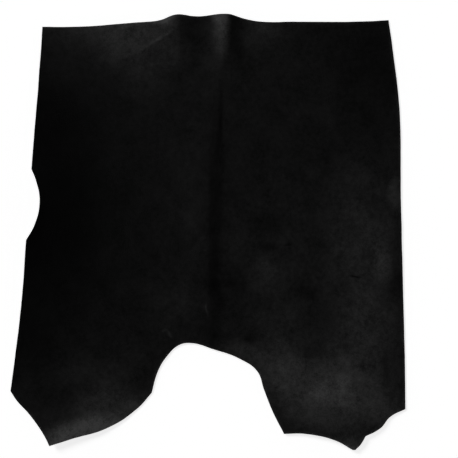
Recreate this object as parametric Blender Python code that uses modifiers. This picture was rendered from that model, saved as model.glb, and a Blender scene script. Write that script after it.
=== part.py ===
"""A tanned cattle hide: the back half of a skin, dyed black, lying grain side up on a flat surface.

Metres, +Z up. The origin is on the surface, under the middle of the hide's box. +Y runs along the
backbone to the cut across the shoulders, and +X to the right with the shoulders on top.
The hide is one cut sheet: its edge is a closed Bezier curve through the points of the five cuts,
and its folds are soft ridges added to a height that is zero where it touches the surface.
"""

from collections import namedtuple
from math import ceil

import bmesh
import bpy
from mathutils import Vector
from mathutils.geometry import interpolate_bezier

MM = 0.001

# Sheet
THICKNESS = 2.4 * MM  # a medium weight of leather, even all over
EDGE_STEP = 12 * MM  # spacing of points along the cut edge

# Grid of the sheet: close rows where it is folded, wide rows where it lies flat
COLUMN_PITCH = 22 * MM
FOLDED_PITCH = 22 * MM
FLAT_PITCH = 44 * MM
SHOULDER_FOLDS_FROM = 0.44  # above this the sheet has the shoulder folds
SHANKS_BELOW = -0.36  # below this it has the folds of the shanks
GRID_SNAP = 3 * MM  # an edge point this near a grid line counts as being on it

# Cut edge, clockwise from the left end of the shoulders, in millimetres
# Each cut starts at a corner and is smooth along its other points
Point = namedtuple("Point", "across along corner", defaults=(False,))

SHOULDER_CUT = [
    Point(-542, 672, corner=True),
    Point(-420, 673),
    Point(-239, 686),
    Point(-157, 694),
    Point(-106, 709),
    Point(-42, 706),
    Point(56, 712),
    Point(122, 698),
    Point(168, 690),
    Point(286, 689),
    Point(509, 690),
]
RIGHT_BELLY = [
    Point(592, 694, corner=True),
    Point(606, 597),
    Point(628, 400),
    Point(632, 105),
    Point(639, -180),
    Point(645, -400),
]
RIGHT_SHANK = [
    Point(647, -580, corner=True),
    Point(597, -605),
    Point(564, -642),
    Point(515, -667, corner=True),
    Point(499, -694),
    Point(482, -712, corner=True),
    Point(473, -712, corner=True),
    Point(417, -681),
    Point(318, -660),
]
TAIL_CUT = [
    Point(249, -661, corner=True),
    Point(209, -581),
    Point(184, -517),
    Point(162, -457),
    Point(103, -415),
    Point(20, -385),
    Point(-55, -364),
    Point(-95, -371),
    Point(-137, -411),
    Point(-165, -461),
]
LEFT_SHANK = [
    Point(-184, -527, corner=True),
    Point(-229, -577),
    Point(-321, -638),
    Point(-446, -676),
    Point(-516, -698, corner=True),
    Point(-536, -661),
    Point(-583, -600),
    Point(-626, -553),
]
LEFT_BELLY = [
    Point(-647, -521, corner=True),
    Point(-634, -426),
    Point(-609, -223),
    Point(-593, -26, corner=True),
    Point(-566, 23),
    Point(-549, 98),
    Point(-562, 171),
    Point(-576, 205, corner=True),
    Point(-564, 367),
    Point(-554, 499),
]
CUT_EDGE = SHOULDER_CUT + RIGHT_BELLY + RIGHT_SHANK + TAIL_CUT + LEFT_SHANK + LEFT_BELLY

# Folds, in millimetres. A fold's crest runs straight from its tail end to its shoulder end, and is
# highest at its peak, a share of the run: a peak of 0 or 1 is at the cut edge, which it lifts.
# Left and right are its half widths. Its crest is 2 for a rounded one and 1 for a creased one.
Fold = namedtuple("Fold", "name start_x start_y end_x end_y peak height left right crest")

FOLDS = [
    Fold("shoulder ridge, left", -88, 560, -98, 716, 1.0, 16, 70, 95, 1.4),
    Fold("shoulder ridge, right", 62, 520, 74, 718, 1.0, 18, 85, 62, 1.3),
    Fold("slanting ridge", -320, 558, -98, 652, 0.85, 2, 60, 50, 1.5),
    Fold("shoulder swell", -520, 530, -140, 590, 0.6, 4, 150, 150, 2.0),
    Fold("backbone", 2, -400, 6, 600, 0.35, 8.5, 200, 56, 1.15),
    Fold("left belly curl", -685, -440, -600, 600, 0.5, 15, 60, 290, 2.0),
    Fold("right belly roll", 598, -600, 598, 330, 0.6, 10, 170, 50, 2.0),
    Fold("right belly swell", 520, -560, 500, -60, 0.4, 6, 230, 120, 2.0),
    Fold("right shank curl", 150, -720, 720, -640, 0.5, 13, 230, 120, 2.0),
    Fold("left shank curl", -640, -740, -200, -640, 0.3, 18, 150, 80, 2.0),
    Fold("left shank swell", -440, -560, -380, -380, 0.5, 3, 80, 80, 2.0),
]


def corner_handles(spline, points):
    """Set a Bezier spline's points: straight handles at corners, smooth ones elsewhere."""
    spline.bezier_points.add(len(points) - 1)
    for knot, point in zip(spline.bezier_points, points):
        knot.co = (point.across * MM, point.along * MM, 0)
        knot.handle_left_type = "VECTOR" if point.corner else "AUTO"
        knot.handle_right_type = knot.handle_left_type


def edge_points():
    """The cut edge as points about EDGE_STEP apart, read from its closed Bezier curve."""
    curve = bpy.data.curves.new("cut_edge", "CURVE")
    curve.dimensions = "2D"
    spline = curve.splines.new("BEZIER")
    corner_handles(spline, CUT_EDGE)
    spline.use_cyclic_u = True
    holder = bpy.data.objects.new("cut_edge", curve)
    bpy.context.scene.collection.objects.link(holder)
    bpy.context.view_layer.update()

    points = []
    knots = list(spline.bezier_points)
    for knot, after in zip(knots, knots[1:] + knots[:1]):
        steps = ceil((after.co - knot.co).length / EDGE_STEP)
        span = interpolate_bezier(knot.co, knot.handle_right, after.handle_left, after.co, steps + 1)
        points += span[:-1]
    bpy.data.objects.remove(holder)
    bpy.data.curves.remove(curve)
    return points


def evenly(low, high, pitch):
    """Stations between two ends, no more than a pitch apart, the lower end included."""
    count = ceil((high - low) / pitch)
    return [low + (high - low) * step / count for step in range(count)]


def fold_height(fold, x, y):
    """Height that one fold gives the sheet at a place on it."""
    start = Vector((fold.start_x, fold.start_y)) * MM
    run = Vector((fold.end_x, fold.end_y)) * MM - start
    place = Vector((x, y)) - start
    along = min(max(place.dot(run) / run.length_squared, 0), 1) - fold.peak
    reach = fold.peak if along < 0 else 1 - fold.peak
    fade = 0 if along == 0 else abs(along) / reach
    aside = (run.x * place.y - run.y * place.x) / run.length
    half_width = (fold.left if aside > 0 else fold.right) * MM
    across = min(abs(aside) / half_width, 1)
    rise = 1 - fade * fade * (3 - 2 * fade)
    return fold.height * MM * rise * (1 - across**fold.crest) ** 2


def lift(x, y):
    """Height of the sheet's underside above the surface it lies on."""
    return sum(fold_height(fold, x, y) for fold in FOLDS)


def flat_sheet(points):
    """The cut outline as one flat face, divided by rows and columns of straight cuts."""
    sheet = bmesh.new()
    corners = [sheet.verts.new(point) for point in points]
    for corner, after in zip(corners, corners[1:] + corners[:1]):
        sheet.edges.new((corner, after))
    bmesh.ops.contextual_create(sheet, geom=sheet.edges[:])

    low = Vector((min(p.x for p in points), min(p.y for p in points)))
    high = Vector((max(p.x for p in points), max(p.y for p in points)))
    columns = evenly(low.x, high.x, COLUMN_PITCH)
    rows = evenly(low.y, SHANKS_BELOW, FOLDED_PITCH)
    rows += evenly(SHANKS_BELOW, SHOULDER_FOLDS_FROM, FLAT_PITCH)
    rows += evenly(SHOULDER_FOLDS_FROM, high.y, FOLDED_PITCH)
    cuts = [(Vector((x, 0, 0)), Vector((1, 0, 0))) for x in columns]
    cuts += [(Vector((0, y, 0)), Vector((0, 1, 0))) for y in rows]
    for place, normal in cuts:
        everything = sheet.verts[:] + sheet.edges[:] + sheet.faces[:]
        bmesh.ops.bisect_plane(sheet, geom=everything, dist=GRID_SNAP, plane_co=place, plane_no=normal)
    bmesh.ops.triangulate(sheet, faces=sheet.faces[:])
    return sheet


def leather():
    """Black leather with a dull polish."""
    material = bpy.data.materials.new("black leather")
    material.use_nodes = True
    shader = material.node_tree.nodes["Principled BSDF"]
    shader.inputs["Base Color"].default_value = (0.006, 0.006, 0.006, 1)
    shader.inputs["Roughness"].default_value = 0.5
    shader.inputs["Metallic"].default_value = 0
    return material


def hide(collection):
    """The hide as one closed sheet, flat on the surface but for its folds."""
    sheet = flat_sheet(edge_points())
    for vertex in sheet.verts:
        vertex.co.z = lift(vertex.co.x, vertex.co.y)
    bmesh.ops.recalc_face_normals(sheet, faces=sheet.faces[:])
    if sum(face.normal.z for face in sheet.faces) < 0:
        bmesh.ops.reverse_faces(sheet, faces=sheet.faces[:])

    mesh = bpy.data.meshes.new("hide")
    sheet.to_mesh(mesh)
    sheet.free()
    mesh.shade_smooth()
    mesh.materials.append(leather())
    body = bpy.data.objects.new("hide", mesh)
    collection.objects.link(body)

    solidify = body.modifiers.new("thickness", "SOLIDIFY")
    solidify.thickness = THICKNESS
    solidify.offset = 1  # the leather's body is above the underside
    solidify.use_even_offset = True
    return body


for old in list(bpy.data.objects):
    bpy.data.objects.remove(old)

parts = bpy.data.collections.new("leather_hide")
bpy.context.scene.collection.children.link(parts)
hide(parts)
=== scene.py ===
"""Looks of a black leather hide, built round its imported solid. Metres, +Z up.

The hide lies grain side up on a pale floor, with its backbone along Y and its shoulders at +Y.
"""

from collections import namedtuple
from math import atan2, ceil, cos, hypot, radians, sin, sqrt

import bpy
import numpy as np
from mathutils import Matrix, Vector, noise
from mathutils.geometry import delaunay_2d_cdt, interpolate_bezier
from mathutils.kdtree import KDTree


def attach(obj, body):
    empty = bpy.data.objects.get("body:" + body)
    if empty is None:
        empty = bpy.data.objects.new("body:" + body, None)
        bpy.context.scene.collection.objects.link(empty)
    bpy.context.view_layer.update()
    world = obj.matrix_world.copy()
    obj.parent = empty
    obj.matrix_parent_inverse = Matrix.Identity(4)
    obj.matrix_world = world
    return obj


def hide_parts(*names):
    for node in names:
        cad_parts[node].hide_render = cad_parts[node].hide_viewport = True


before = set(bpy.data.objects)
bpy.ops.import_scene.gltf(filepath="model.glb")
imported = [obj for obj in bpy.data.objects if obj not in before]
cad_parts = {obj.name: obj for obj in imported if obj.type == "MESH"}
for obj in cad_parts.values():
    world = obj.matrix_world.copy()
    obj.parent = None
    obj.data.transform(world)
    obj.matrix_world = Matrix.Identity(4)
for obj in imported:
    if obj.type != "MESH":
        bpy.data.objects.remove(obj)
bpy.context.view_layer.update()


# The cut edge
# A tanner trims the wet skin with a knife, by eye: straight across the shoulders, down both
# bellies, round the two hind shanks and out where the tail was. Its rim is greyer along every cut
# but the left belly.

MM = 0.001
EDGE_STEP = 4.5 * MM

# Points of the cuts, clockwise from the left end of the shoulders, in millimetres
# Each cut starts at a corner and is smooth along its other points
Point = namedtuple("Point", "across along corner", defaults=(False,))

SHOULDER_CUT = [
    Point(-542, 672, corner=True),
    Point(-420, 673),
    Point(-239, 686),
    Point(-157, 694),
    Point(-106, 709),
    Point(-42, 706),
    Point(56, 712),
    Point(122, 698),
    Point(168, 690),
    Point(286, 689),
    Point(509, 690),
]
RIGHT_BELLY = [
    Point(592, 694, corner=True),
    Point(606, 597),
    Point(628, 400),
    Point(632, 105),
    Point(639, -180),
    Point(645, -400),
]
RIGHT_SHANK = [
    Point(647, -580, corner=True),
    Point(597, -605),
    Point(564, -642),
    Point(515, -667, corner=True),
    Point(499, -694),
    Point(482, -712, corner=True),
    Point(473, -712, corner=True),
    Point(417, -681),
    Point(318, -660),
]
TAIL_CUT = [
    Point(249, -661, corner=True),
    Point(209, -581),
    Point(184, -517),
    Point(162, -457),
    Point(103, -415),
    Point(20, -385),
    Point(-55, -364),
    Point(-95, -371),
    Point(-137, -411),
    Point(-165, -461),
]
LEFT_SHANK = [
    Point(-184, -527, corner=True),
    Point(-229, -577),
    Point(-321, -638),
    Point(-446, -676),
    Point(-516, -698, corner=True),
    Point(-536, -661),
    Point(-583, -600),
    Point(-626, -553),
]
LEFT_BELLY = [
    Point(-647, -521, corner=True),
    Point(-634, -426),
    Point(-609, -223),
    Point(-593, -26, corner=True),
    Point(-566, 23),
    Point(-549, 98),
    Point(-562, 171),
    Point(-576, 205, corner=True),
    Point(-564, 367),
    Point(-554, 499),
]
CUT_EDGE = SHOULDER_CUT + RIGHT_BELLY + RIGHT_SHANK + TAIL_CUT + LEFT_SHANK + LEFT_BELLY

# Cuts whose rim is made greyer, and by how much at the cut; the grey fades out within RIM_WIDTH.
GreyRim = namedtuple("GreyRim", "cut amount")
GREY_RIMS = [
    GreyRim(SHOULDER_CUT, 0.23),
    GreyRim(RIGHT_BELLY, 0.3),
    GreyRim(RIGHT_SHANK, 0.4),
    GreyRim(TAIL_CUT, 0.27),
    GreyRim(LEFT_SHANK, 0.2),
]

# A waver strays up to its depth to each side, once in about each length
Waver = namedtuple("Waver", "length depth")
KNIFE_WAVERS = [Waver(70 * MM, 0.7 * MM), Waver(16 * MM, 0.25 * MM)]


def smooth_edge():
    """Points about EDGE_STEP apart on a closed Bezier curve, and how much greyer the rim is at
    each.
    """
    curve = bpy.data.curves.new("cut_edge", "CURVE")
    curve.dimensions = "2D"
    spline = curve.splines.new("BEZIER")
    spline.bezier_points.add(len(CUT_EDGE) - 1)
    spline.use_cyclic_u = True
    for knot, point in zip(spline.bezier_points, CUT_EDGE):
        knot.co = (point.across * MM, point.along * MM, 0)
        knot.handle_left_type = "VECTOR" if point.corner else "AUTO"
        knot.handle_right_type = knot.handle_left_type
    holder = bpy.data.objects.new("cut_edge", curve)
    bpy.context.scene.collection.objects.link(holder)
    bpy.context.view_layer.update()

    points = []
    greying = []
    knots = list(spline.bezier_points)
    for point, knot, after in zip(CUT_EDGE, knots, knots[1:] + knots[:1]):
        steps = ceil((after.co - knot.co).length / EDGE_STEP)
        handles = (knot.handle_right, after.handle_left)
        span = interpolate_bezier(knot.co, *handles, after.co, steps + 1)
        points += [place.xy for place in span[:-1]]
        greying += [sum(rim.amount for rim in GREY_RIMS if point in rim.cut)] * steps
    bpy.data.objects.remove(holder)
    bpy.data.curves.remove(curve)
    return np.array(points), greying


def inset(outline, distances):
    """A clockwise outline with its points moved inwards."""
    ahead = np.roll(outline, -1, 0) - np.roll(outline, 1, 0)
    ahead /= np.linalg.norm(ahead, axis=1)[:, None]
    inward = np.stack([ahead[:, 1], -ahead[:, 0]], 1)
    return outline + inward * np.reshape(distances, (-1, 1))


def knife_wavers(outline):
    """How far the hand-held knife strayed at each point, inwards or outwards."""
    strayed = np.zeros(len(outline))
    for waver in KNIFE_WAVERS:
        places = [Vector((x, y, 0)) / waver.length for x, y in outline]
        strayed += [waver.depth * noise.noise(place) for place in places]
    return strayed


cut_outline, edge_greying = smooth_edge()
cut_outline = inset(cut_outline, knife_wavers(cut_outline))


# The leather sheet
# The back half of one cow skin, tanned and dyed black, 2.4 mm thick. It was rolled for storage and
# lies with two stiff ridges at the shoulders, a low fold on the backbone, and curling bellies. The
# grey on the ridges, the shanks and the right belly is painted highlight and sheen, and the darker
# slopes that face away from the light are painted shade.

THICKNESS = 2.4 * MM
EDGE_ROUNDING = 0.35 * MM
SHARP_ANGLE = 1.0

# Points of the sheet: rows along its edge, then a grid of triangles, closer at creases and marks
EDGE_ROWS = (1.6 * MM, 4.2 * MM)
GRID_PITCH = 7 * MM
GRID_CLEAR = 7 * MM
CLOSE_PITCH = 3 * MM
CLOSE_REACH = 15
NEAREST = 1.5 * MM
INSIDE_ONLY = 1
SAME_POINT = 1e-7

# Folds, in millimetres. A fold's crest runs straight from its tail end to its shoulder end, and is
# highest at its peak, a share of the run. Left and right are its half widths. Its crest is 2 for a
# rounded one and 1 for a creased one.
Fold = namedtuple("Fold", "name start_x start_y end_x end_y peak height left right crest")

FOLDS = [
    Fold("shoulder ridge, left", -88, 560, -98, 716, 1.0, 16, 70, 95, 1.4),
    Fold("shoulder ridge, right", 62, 520, 74, 718, 1.0, 18, 85, 62, 1.3),
    Fold("slanting ridge", -320, 558, -98, 652, 0.85, 2, 60, 50, 1.5),
    Fold("shoulder swell", -520, 530, -140, 590, 0.6, 4, 150, 150, 2.0),
    Fold("backbone", 2, -400, 6, 600, 0.35, 8.5, 200, 56, 1.15),
    Fold("left belly curl", -685, -440, -600, 600, 0.5, 15, 60, 290, 2.0),
    Fold("right belly roll", 598, -600, 598, 330, 0.6, 10, 170, 50, 2.0),
    Fold("right belly swell", 520, -560, 500, -60, 0.4, 6, 230, 120, 2.0),
    Fold("right shank curl", 150, -720, 720, -640, 0.5, 13, 230, 120, 2.0),
    Fold("left shank curl", -640, -740, -200, -640, 0.3, 18, 150, 80, 2.0),
    Fold("left shank swell", -440, -560, -380, -380, 0.5, 3, 80, 80, 2.0),
]

CREASES = [
    Fold("backbone crease", 36, -60, 42, 540, 0.6, 1.6, 34, 14, 1.1),
    Fold("slanting crease", -250, 578, -100, 663, 0.7, 1.0, 14, 13, 1.5),
    Fold("slanting crease, end", -330, 557, -232, 584, 0.8, 0.6, 13, 13, 1.6),
]
CREASE_WAVER = Waver(45 * MM, 5 * MM)

# Cockles are the shallow waves that drying leaves, deeper within EDGE_REACH of the edge
Cockle = namedtuple("Cockle", "length height")
COCKLES = [Cockle(150 * MM, 0.9 * MM), Cockle(55 * MM, 0.45 * MM), Cockle(24 * MM, 0.2 * MM)]
EDGE_COCKLES = [Cockle(48 * MM, 2.2 * MM), Cockle(21 * MM, 0.5 * MM)]
EDGE_REACH = 46 * MM


def fold_heights(fold, x, y):
    """Height that one fold gives the sheet at some places."""
    start_x, start_y = fold.start_x * MM, fold.start_y * MM
    run_x, run_y = fold.end_x * MM - start_x, fold.end_y * MM - start_y
    length = sqrt(run_x**2 + run_y**2)
    place_x, place_y = x - start_x, y - start_y
    along = np.clip((place_x * run_x + place_y * run_y) / length**2, 0, 1) - fold.peak
    reach = np.where(along < 0, fold.peak, 1 - fold.peak)
    fade = np.divide(np.abs(along), reach, out=np.zeros_like(along), where=along != 0)
    aside = (run_x * place_y - run_y * place_x) / length
    half_width = np.where(aside > 0, fold.left, fold.right) * MM
    across = np.minimum(np.abs(aside) / half_width, 1)
    rise = 1 - fade**2 * (3 - 2 * fade)
    return fold.height * MM * rise * (1 - across**fold.crest) ** 2


def waves(cockles, places):
    """How far cockles lift the sheet at some places: never below where it lies."""
    total = np.zeros(len(places))
    for cockle in cockles:
        swell = [noise.noise(Vector((x, y, 0)) / cockle.length) for x, y in places]
        total += cockle.height * (0.5 + 0.5 * np.clip(swell, -1, 1))
    return total


def inside(outline, places):
    """Which places lie inside a closed outline, by the even and odd rule."""
    x, y = places.T
    odd = np.zeros(len(places), bool)
    for (from_x, from_y), (to_x, to_y) in zip(outline, np.roll(outline, -1, 0)):
        if from_y != to_y:
            meets_x = from_x + (y - from_y) * (to_x - from_x) / (to_y - from_y)
            odd ^= ((from_y > y) != (to_y > y)) & (x < meets_x)
    return odd


def even_places(outline, pitch):
    """Evenly spaced places inside an outline, at the corners of equal triangles."""
    low, high = outline.min(0), outline.max(0)
    rows = np.arange(low[1], high[1], pitch * sqrt(3) / 2)
    columns = np.arange(low[0], high[0], pitch)
    places = [(x + pitch / 2 * (row % 2), y) for row, y in enumerate(rows) for x in columns]
    places = np.array(places)
    return places[inside(outline, places)]


# Patches that grey or deepen the black, in millimetres: the middle, how far it fades out to each
# side
# and along, its turn in degrees, and what it adds to the grey at its middle. Most are painted
# light:
# painted highlights and sheen where slopes face the light, on the ridges, the top left shoulder,
# left of the backbone, the right half, the right belly and the shank tips, and painted shade where
# they face away, on the left belly, the upper right, the backbone, between the ridges and at the
# foot of the right ridge. Marks have jagged edges.
Patch = namedtuple("Patch", "name x y half_x half_y turn amount")

EVEN_GREY = 0.11
PATCHES = [
    Patch("left belly, deep", -620, 100, 560, 760, -3, -0.105),
    Patch("left belly, upper", -540, 400, 190, 180, 0, -0.05),
    Patch("left belly, lower", -600, -380, 160, 160, 0, -0.03),
    Patch("upper right", 540, 590, 260, 260, 0, -0.05),
    Patch("right belly, upper", 500, 330, 120, 160, 0, -0.02),
    Patch("top left corner", -360, 690, 300, 110, 4, 0.16),
    Patch("shoulder, left", -230, 668, 260, 210, 0, 0.27),
    Patch("shoulder, left, low", -220, 490, 130, 90, 0, 0.06),
    Patch("top edge, left", -240, 705, 190, 50, 4, 0.22),
    Patch("left ridge", -140, 712, 58, 54, 20, 1.05),
    Patch("right ridge", 42, 712, 44, 165, 0, 0.5),
    Patch("right ridge, top", 32, 713, 34, 42, 0, 0.65),
    Patch("right ridge, left slope", 20, 560, 60, 150, 0, 0.06),
    Patch("valley between the ridges", -58, 660, 48, 100, 0, -0.07),
    Patch("foot of the right ridge", 96, 670, 44, 110, 0, -0.06),
    Patch("beside the right ridge", 170, 660, 130, 100, 0, 0.12),
    Patch("backbone, left", -50, 40, 60, 420, 0, 0.03),
    Patch("backbone, lower left", -100, -230, 110, 130, 0, 0.05),
    Patch("backbone, shade", 27, 60, 38, 430, 0, -0.035),
    Patch("backbone, lower shade", 22, -230, 40, 260, 0, -0.035),
    Patch("backbone, right", 90, -60, 50, 300, 0, 0.02),
    Patch("right half", 260, -100, 250, 420, 0, 0.045),
    Patch("right loin", 200, -140, 90, 110, 30, 0.07),
    Patch("right of the tail", 240, -330, 160, 130, -20, 0.08),
    Patch("edge of the tail cut", 120, -400, 120, 50, -22, 0.2),
    Patch("right belly", 490, -40, 170, 420, 0, 0.14),
    Patch("right belly, middle", 562, -40, 75, 140, 0, 0.08),
    Patch("right belly, palest", 572, -100, 46, 90, 8, 0.22),
    Patch("belly edge", 618, 125, 34, 90, 0, 0.26),
    Patch("cloud, right loin", 194, 32, 88, 66, 12, -0.055),
    Patch("cloud, right loin, low", 196, -48, 52, 34, 0, -0.065),
    Patch("wisp, right loin", 182, -122, 40, 66, 30, 0.05),
    Patch("cloud beside the backbone", 92, -165, 46, 100, 0, -0.06),
    Patch("cloud across the backbone", 50, -160, 90, 36, 0, -0.03),
    Patch("cloud, middle", 335, -195, 55, 40, 0, -0.055),
    Patch("cloud, middle, upper", 382, -60, 36, 60, -15, -0.045),
    Patch("cloud above the shank", 350, -400, 110, 40, -6, -0.09),
    Patch("lower right belly", 530, -340, 170, 230, 0, 0.19),
    Patch("right shank", 400, -525, 300, 170, -10, 0.42),
    Patch("right shank, upper", 440, -390, 170, 120, 0, 0.08),
    Patch("right shank, middle", 400, -515, 130, 80, -14, 0.2),
    Patch("right shank, corner", 590, -590, 110, 90, 0, 0.12),
    Patch("right tip", 474, -700, 90, 60, 0, 0.5),
    Patch("shade beside the belly edge", 574, -455, 16, 100, 0, -0.10),
    Patch("tail, right", 230, -450, 110, 140, 0, 0.22),
    Patch("left tip", -410, -705, 210, 120, 16, 1.7),
    Patch("left shank, low", -350, -560, 150, 80, 10, 0.19),
    Patch("left shank, edge", -275, -600, 140, 55, 33, 0.3),
    Patch("left shank", -360, -480, 200, 150, 0, 0.06),
]
# Marks: the dark line on the backbone is painted shade, and the pale lines on the slanting crease
# are its painted highlight; the others are scratches, scars, lines, spots and specks in the
# leather.
MARKS = [
    Patch("dark line on the backbone", 39, 365, 13, 255, -2, -0.05),
    Patch("rubbed slanting crease", -178, 620, 95, 8, 30, 0.13),
    Patch("rubbed slanting crease, end", -275, 573, 55, 9, 15, 0.07),
    Patch("scratch by the backbone", -5, -253, 4, 34, 6, 0.2),
    Patch("scar by the tail", -125, -335, 30, 6, -57, 0.17),
    Patch("scar by the tail, end", -142, -322, 16, 6, 10, 0.11),
    Patch("line on the right belly", 482, -147, 26, 5, -3, -0.24),
    Patch("line on the right belly, end", 512, -139, 16, 4, 40, -0.13),
    Patch("line on the right loin", 263, -43, 28, 5, 0, -0.09),
    Patch("spot on the right loin", 206, -52, 28, 22, 0, -0.03),
    Patch("spot beside the backbone", 118, -180, 12, 26, 0, -0.05),
    Patch("spot above the tail", 140, -352, 26, 22, 0, -0.07),
    Patch("line on the right shank", 508, -443, 4, 26, 0, -0.2),
    Patch("nick on the right shank", 413, -557, 14, 6, -40, -0.33),
    Patch("spot on the right shank", 222, -463, 24, 14, 0, -0.17),
    Patch("rubbed slanting crease, middle", -230, 596, 26, 14, 20, 0.08),
    Patch("spot beside the right ridge", 172, 674, 34, 24, 0, 0.1),
    Patch("speck on the shoulder", -183, 546, 13, 11, 0, 0.11),
    Patch("speck on the shoulder, left", -250, 562, 10, 6, 30, 0.07),
]
PATCH_WAVER = Waver(90 * MM, 16 * MM)
MARK_WAVER = Waver(14 * MM, 3.5 * MM)
RIM_WIDTH = 6 * MM

# The noise that moves places is seeded, so that the hide comes out the same each time
NOISE_SEED = 4
noise.seed_set(NOISE_SEED)


def strayed(places, waver):
    """The places, each moved a little by the same soft noise."""
    moves = [
        noise.noise_vector(Vector((x, y, 0)) / waver.length).xy * waver.depth
        for x, y in places
    ]
    return places + np.array(moves)


def patch_grey(patch, places):
    """How much one patch adds to the grey at some places: most in its middle, fading out softly."""
    turn = radians(patch.turn)
    aside, ahead = (places - np.array([patch.x, patch.y]) * MM).T
    reach = np.hypot(
        (aside * cos(turn) + ahead * sin(turn)) / (patch.half_x * MM),
        (ahead * cos(turn) - aside * sin(turn)) / (patch.half_y * MM),
    )
    return patch.amount * (1 - np.minimum(reach, 1) ** 2) ** 2


def painted_light_and_marks(places):
    """How grey the black is at some places, 0 deep black to 1 soft grey: painted sheen and shade,
    and marks.
    """
    patchy = strayed(places, PATCH_WAVER)
    jagged = strayed(places, MARK_WAVER)
    total = EVEN_GREY + sum(patch_grey(patch, patchy) for patch in PATCHES)
    total += sum(patch_grey(mark, jagged) for mark in MARKS)
    return np.maximum(total, 0)


def finder(places):
    """A tree that finds which of some places are near another."""
    tree = KDTree(len(places))
    for number, place in enumerate(places):
        tree.insert((*place, 0), number)
    tree.balance()
    return tree


def nearest_edge(places):
    """How far each place is from the cut edge, and how much greyer the rim is at its nearest point.
    """
    edge_points = finder(cut_outline)
    found = [edge_points.find((*place, 0)) for place in places]
    distances = [distance for _, _, distance in found]
    greying = [edge_greying[number] for _, number, _ in found]
    return np.array(distances), np.array(greying)


def close_places(x, y, half_x, half_y, turn):
    """Closely spaced places in a turned rectangle."""
    columns = np.arange(-half_x * MM, half_x * MM, CLOSE_PITCH)
    rows = np.arange(-half_y * MM, half_y * MM, CLOSE_PITCH)
    aside, ahead = (grid.ravel() for grid in np.meshgrid(columns, rows))
    turned_x = x * MM + aside * cos(turn) - ahead * sin(turn)
    turned_y = y * MM + aside * sin(turn) + ahead * cos(turn)
    return np.column_stack([turned_x, turned_y])


def beside(crease):
    """Closely spaced places along a crease and a little to each side of it."""
    run_x, run_y = crease.end_x - crease.start_x, crease.end_y - crease.start_y
    middle_x, middle_y = crease.start_x + run_x / 2, crease.start_y + run_y / 2
    half_length = hypot(run_x, run_y) / 2
    half_width = min(max(crease.left, crease.right), CLOSE_REACH)
    return close_places(middle_x, middle_y, half_length, half_width, atan2(run_y, run_x))


def on(mark):
    """Closely spaced places on a mark."""
    return close_places(mark.x, mark.y, mark.half_x, mark.half_y, radians(mark.turn))


def uncrowded(places):
    """The places without those that are nearer than NEAREST to an earlier one."""
    tree = finder(places)
    crowded = set()
    for number, place in enumerate(places):
        if number not in crowded:
            near = [other for _, other, _ in tree.find_range((*place, 0), NEAREST)]
            crowded.update(other for other in near if other > number)
    return np.delete(places, list(crowded), 0)


sheet_inside = inset(cut_outline, GRID_CLEAR)
detailed = np.concatenate([beside(crease) for crease in CREASES] + [on(mark) for mark in MARKS])
places = [cut_outline] + [inset(cut_outline, depth) for depth in EDGE_ROWS]
places.append(even_places(sheet_inside, GRID_PITCH))
places.append(detailed[inside(sheet_inside, detailed)])
places = uncrowded(np.concatenate(places))
border = list(range(len(cut_outline)))
corners = [Vector(place) for place in places]
corners, _, triangles, *_ = delaunay_2d_cdt(corners, [], [border], INSIDE_ONLY, SAME_POINT)

flat_places = np.array([corner[:] for corner in corners])
wavering = strayed(flat_places, CREASE_WAVER)
edge_distance, greying = nearest_edge(flat_places)
lifts = waves(COCKLES, flat_places)
lifts += waves(EDGE_COCKLES, flat_places) * np.maximum(0, 1 - edge_distance / EDGE_REACH) ** 2
lifts += sum(fold_heights(fold, *flat_places.T) for fold in FOLDS)
lifts += sum(fold_heights(crease, *wavering.T) for crease in CREASES)

sheet_mesh = bpy.data.meshes.new("hide_leather")
sheet_mesh.from_pydata(np.column_stack([flat_places, lifts]).tolist(), [], triangles)
sheet_mesh.update()
rim_greying = greying * np.maximum(0, 1 - edge_distance / RIM_WIDTH)
# This attribute greys the grain: mostly painted highlights, sheen and shade, with some marks and
# the greyer rim.
light_and_wear_layer = sheet_mesh.attributes.new("painted_light_and_wear", "FLOAT", "POINT")
light_and_wear_layer.data.foreach_set("value", np.clip(painted_light_and_marks(flat_places) + rim_greying, 0, 1))
if sheet_mesh.polygons[0].normal.z < 0:
    sheet_mesh.flip_normals()
hide = bpy.data.objects.new("hide_leather", sheet_mesh)
bpy.context.scene.collection.objects.link(hide)

GRAIN, FLESH, EDGE = range(3)
bpy.ops.object.select_all(action="DESELECT")
bpy.context.view_layer.objects.active = hide
hide.select_set(True)
solidify = hide.modifiers.new("thickness", "SOLIDIFY")
solidify.thickness = THICKNESS
solidify.offset = 1
solidify.use_even_offset = True
solidify.material_offset = FLESH
solidify.material_offset_rim = EDGE
for slot in ("grain", "flesh", "edge"):
    sheet_mesh.materials.append(bpy.data.materials.new(f"{slot} side"))
bpy.ops.object.modifier_apply(modifier=solidify.name)
bevel = hide.modifiers.new("rounded edge", "BEVEL")
bevel.width = EDGE_ROUNDING
bevel.segments = 2
bevel.limit_method = "ANGLE"
bevel.angle_limit = SHARP_ANGLE
bpy.ops.object.modifier_apply(modifier=bevel.name)
bpy.ops.object.shade_smooth()

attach(hide, "root")
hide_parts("hide")


# The grain side
# The outer face of the skin: pores in a fine pebble, with soft wrinkles, dyed deep black and given
# a dull polish by hand, so that the dye and the shine are cloudy.

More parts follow.
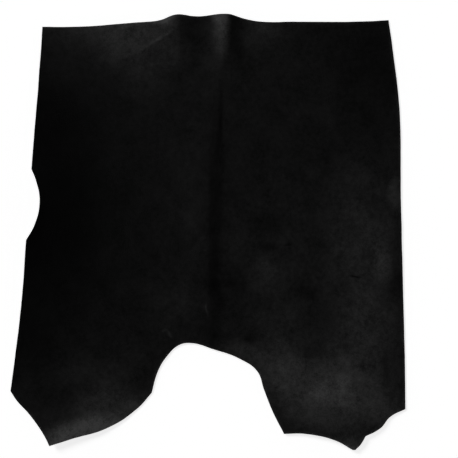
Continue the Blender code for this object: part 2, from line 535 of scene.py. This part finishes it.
class Signal:
    """A socket of a material's nodes, which sums and products can be written with."""

    def __init__(self, tree, socket=None):
        self.tree = tree
        self.socket = socket

    def node(self, kind, inputs, output=0, **settings):
        """Add a node, set it, then give its sockets their values or links. Gives one output."""
        made = self.tree.nodes.new(kind)
        for name, setting in settings.items():
            setattr(made, name, setting)
        for name, given in inputs.items():
            if isinstance(given, Signal):
                self.tree.links.new(given.socket, made.inputs[name])
            else:
                made.inputs[name].default_value = given
        return Signal(self.tree, made.outputs[output])

    def math(self, operation, *values):
        return self.node("ShaderNodeMath", dict(enumerate(values)), operation=operation)

    def __add__(self, other):
        return self.math("ADD", self, other)

    def __mul__(self, other):
        return self.math("MULTIPLY", self, other)

    def __sub__(self, other):
        return self.math("SUBTRACT", self, other)

    def __rsub__(self, other):
        return self.math("SUBTRACT", other, self)

    __radd__ = __add__
    __rmul__ = __mul__

    def rise(self, low, high):
        """0 below a low value, 1 above a high one, and smooth between them."""
        limits = {"Value": self, "From Min": low, "From Max": high}
        return self.node("ShaderNodeMapRange", limits, interpolation_type="SMOOTHSTEP")

    def stretched(self, *scale):
        return self.node("ShaderNodeMapping", {"Vector": self, "Scale": scale})

    def warped(self, scale, reach):
        """The same coordinates, each place moved a little by a noise."""
        wanted = {"Vector": self, "Scale": scale, "Detail": 2}
        moves = self.node("ShaderNodeTexNoise", wanted, output="Color")
        terms = {0: moves, 1: (reach, reach, reach), 2: self}
        return self.node("ShaderNodeVectorMath", terms, operation="MULTIPLY_ADD")

    def cloud(self, scale, detail, roughness=0.55):
        wanted = {"Vector": self, "Scale": scale, "Detail": detail, "Roughness": roughness}
        return self.node("ShaderNodeTexNoise", wanted)

    def cells(self, scale, groove):
        """Rounded cells, 0 in the grooves between them and 1 past a groove's width."""
        wanted = {"Vector": self, "Scale": scale}
        walls = self.node("ShaderNodeTexVoronoi", wanted, feature="DISTANCE_TO_EDGE")
        return walls.rise(0.0, groove)

    def blend(self, low, high):
        """A colour between two, by this value."""
        wanted = {0: self, 6: (*low, 1), 7: (*high, 1)}
        return self.node("ShaderNodeMix", wanted, output=2, data_type="RGBA")

    def bump(self, depth, strength):
        """The surface's normal, bent as by a relief of this value and depth."""
        wanted = {"Height": self, "Distance": depth, "Strength": strength}
        return self.node("ShaderNodeBump", wanted)


def finish(number, name):
    """The material in one slot of the hide: its shader, and its Object coordinates as a signal."""
    material = hide.data.materials[number]
    material.name = name
    material.use_nodes = True
    tree = material.node_tree
    place = Signal(tree).node("ShaderNodeTexCoord", {}, output="Object")
    return tree.nodes["Principled BSDF"], place


def feed(shader, **signals):
    """Link signals to the shader's sockets, whose names have spaces for the underscores."""
    for name, signal in signals.items():
        signal.tree.links.new(signal.socket, shader.inputs[name.replace("_", " ")])


# Deep black, and the grey that the painted sheen, highlights and marks go up to.
DEEP_BLACK = (0.0005, 0.0005, 0.0005)
SHEEN_AND_WEAR_GREY = (0.105, 0.105, 0.105)
GRAIN_DEPTH = 0.5 * MM
GRAIN_STRAYS = 2.2 * MM

# How many of each there are to a metre
DYE_CLOUDS = 14
DYE_BLOTCHES = 70
DYE_SPECKS = 240
LOOSE_PLACES = 9
PEBBLES = 430
WRINKLES = 130
STRAYINGS = 260

shader, place = finish(GRAIN, "black grain")
painted_light_and_wear = place.node("ShaderNodeAttribute", {}, output="Fac", attribute_name="painted_light_and_wear")
clouds = place.cloud(DYE_CLOUDS, 4, 0.6).rise(0.22, 0.78)
blotches = place.cloud(DYE_BLOTCHES, 5, 0.7).rise(0.22, 0.78)
specks = place.cloud(DYE_SPECKS, 4, 0.7).rise(0.22, 0.78)
loose = place.cloud(LOOSE_PLACES, 2).rise(0.35, 0.7)
grain = place.warped(STRAYINGS, GRAIN_STRAYS)
pebble = grain.cells(PEBBLES, 0.3)
wrinkles = grain.stretched(1.0, 0.6, 1.0).cells(WRINKLES, 0.16)
mottle = clouds * 0.6 + blotches * 0.75 + specks * 0.5 + pebble * 0.25 - 0.05
relief = pebble * 0.5 + wrinkles * loose * 0.7 + specks * 0.3
# The base colour greys the black by the attribute: mostly painted highlights, sheen and shade, with
# some marks, clouded at random.
feed(
    shader,
    Base_Color=(painted_light_and_wear * mottle).blend(DEEP_BLACK, SHEEN_AND_WEAR_GREY),
    Roughness=0.40 + painted_light_and_wear.rise(0.0, 0.2) * 0.10,
    Normal=relief.bump(GRAIN_DEPTH, 0.7),
)
shader.inputs["Specular IOR Level"].default_value = 0.07
shader.inputs["Sheen Weight"].default_value = 0.25
shader.inputs["Sheen Roughness"].default_value = 0.3


# The flesh side
# The inner face, shaved flat: a short, dry nap of dyed fibres with no shine.

FLESH_DARK = (0.012, 0.0115, 0.011)
FLESH_PALE = (0.034, 0.032, 0.030)
NAP_DEPTH = 0.6 * MM

shader, place = finish(FLESH, "black flesh")
nap = place.cloud(420, 4, 0.7)
patches = place.cloud(18, 4)
uneven = (nap * 0.6 + patches * 0.4).rise(0.3, 0.7)
feed(shader, Base_Color=uneven.blend(FLESH_DARK, FLESH_PALE), Normal=nap.bump(NAP_DEPTH, 0.6))
shader.inputs["Roughness"].default_value = 0.95
shader.inputs["Specular IOR Level"].default_value = 0.2


# The cut face
# The leather's thickness where the knife went through: packed fibres, dyed through but greyer.

CUT_DARK = (0.010, 0.010, 0.010)
CUT_PALE = (0.05, 0.049, 0.048)
FIBRE_DEPTH = 0.3 * MM

shader, place = finish(EDGE, "black cut face")
fibres = place.cloud(900, 3, 0.6)
bundles = place.cloud(60, 3)
uneven = (fibres * 0.5 + bundles * 0.5).rise(0.35, 0.65)
feed(shader, Base_Color=uneven.blend(CUT_DARK, CUT_PALE), Normal=fibres.bump(FIBRE_DEPTH, 0.6))
shader.inputs["Roughness"].default_value = 0.85
shader.inputs["Specular IOR Level"].default_value = 0.25


# Floor, light and camera
# A pale floor that glows a little, as a light table does, under one broad soft light from the
# upper left. The camera looks straight down, as a copy stand's does.

FLOOR_SIZE = 120
FLOOR_GAP = 0.4 * MM
FLOOR_GLOW = 0.81
SUN_FROM = (-0.85, 0.80, 0.75)
SUN_STRENGTH = 1.3
SUN_WIDTH = 0.35
WALL_FOOT = (0.85, 0.85, 0.85)
WALL_TOP = (0.015, 0.015, 0.015)
FILM_WIDTH = 36
CAMERA_HEIGHT = 3.1
CAMERA_OVER = (0.0692, 0.0098)
FIELD_WIDTH = 1.502

bpy.ops.mesh.primitive_plane_add(size=FLOOR_SIZE, location=(0, 0, -FLOOR_GAP))
floor = bpy.context.object
floor.name = "floor"
floor.data.materials.append(bpy.data.materials.new("pale floor"))
floor.data.materials[0].use_nodes = True
floor_shader = floor.data.materials[0].node_tree.nodes["Principled BSDF"]
floor_shader.inputs["Base Color"].default_value = (0.7, 0.7, 0.7, 1)
floor_shader.inputs["Roughness"].default_value = 0.9
floor_shader.inputs["Emission Color"].default_value = (1, 1, 1, 1)
floor_shader.inputs["Emission Strength"].default_value = FLOOR_GLOW

sun = bpy.data.lights.new("soft_light", "SUN")
sun.energy = SUN_STRENGTH
sun.angle = SUN_WIDTH
lamp = bpy.data.objects.new("soft_light", sun)
lamp.rotation_mode = "QUATERNION"
lamp.rotation_quaternion = Vector(SUN_FROM).to_track_quat("Z", "Y")
bpy.context.scene.collection.objects.link(lamp)

world = bpy.data.worlds.new("studio")
world.use_nodes = True
bpy.context.scene.world = world
sky = Signal(world.node_tree).node("ShaderNodeTexCoord", {}, output="Generated")
up = sky.node("ShaderNodeSeparateXYZ", {"Vector": sky}, output="Z")
walls = up.rise(0.02, 0.35).blend(WALL_FOOT, WALL_TOP)
world.node_tree.links.new(walls.socket, world.node_tree.nodes["Background"].inputs["Color"])

lens = bpy.data.cameras.new("camera")
lens.sensor_width = FILM_WIDTH
lens.lens = FILM_WIDTH * CAMERA_HEIGHT / FIELD_WIDTH
camera = bpy.data.objects.new("camera", lens)
camera.location = (*CAMERA_OVER, CAMERA_HEIGHT)
bpy.context.scene.collection.objects.link(camera)
bpy.context.scene.camera = camera
bpy.context.scene.view_settings.view_transform = "Standard"
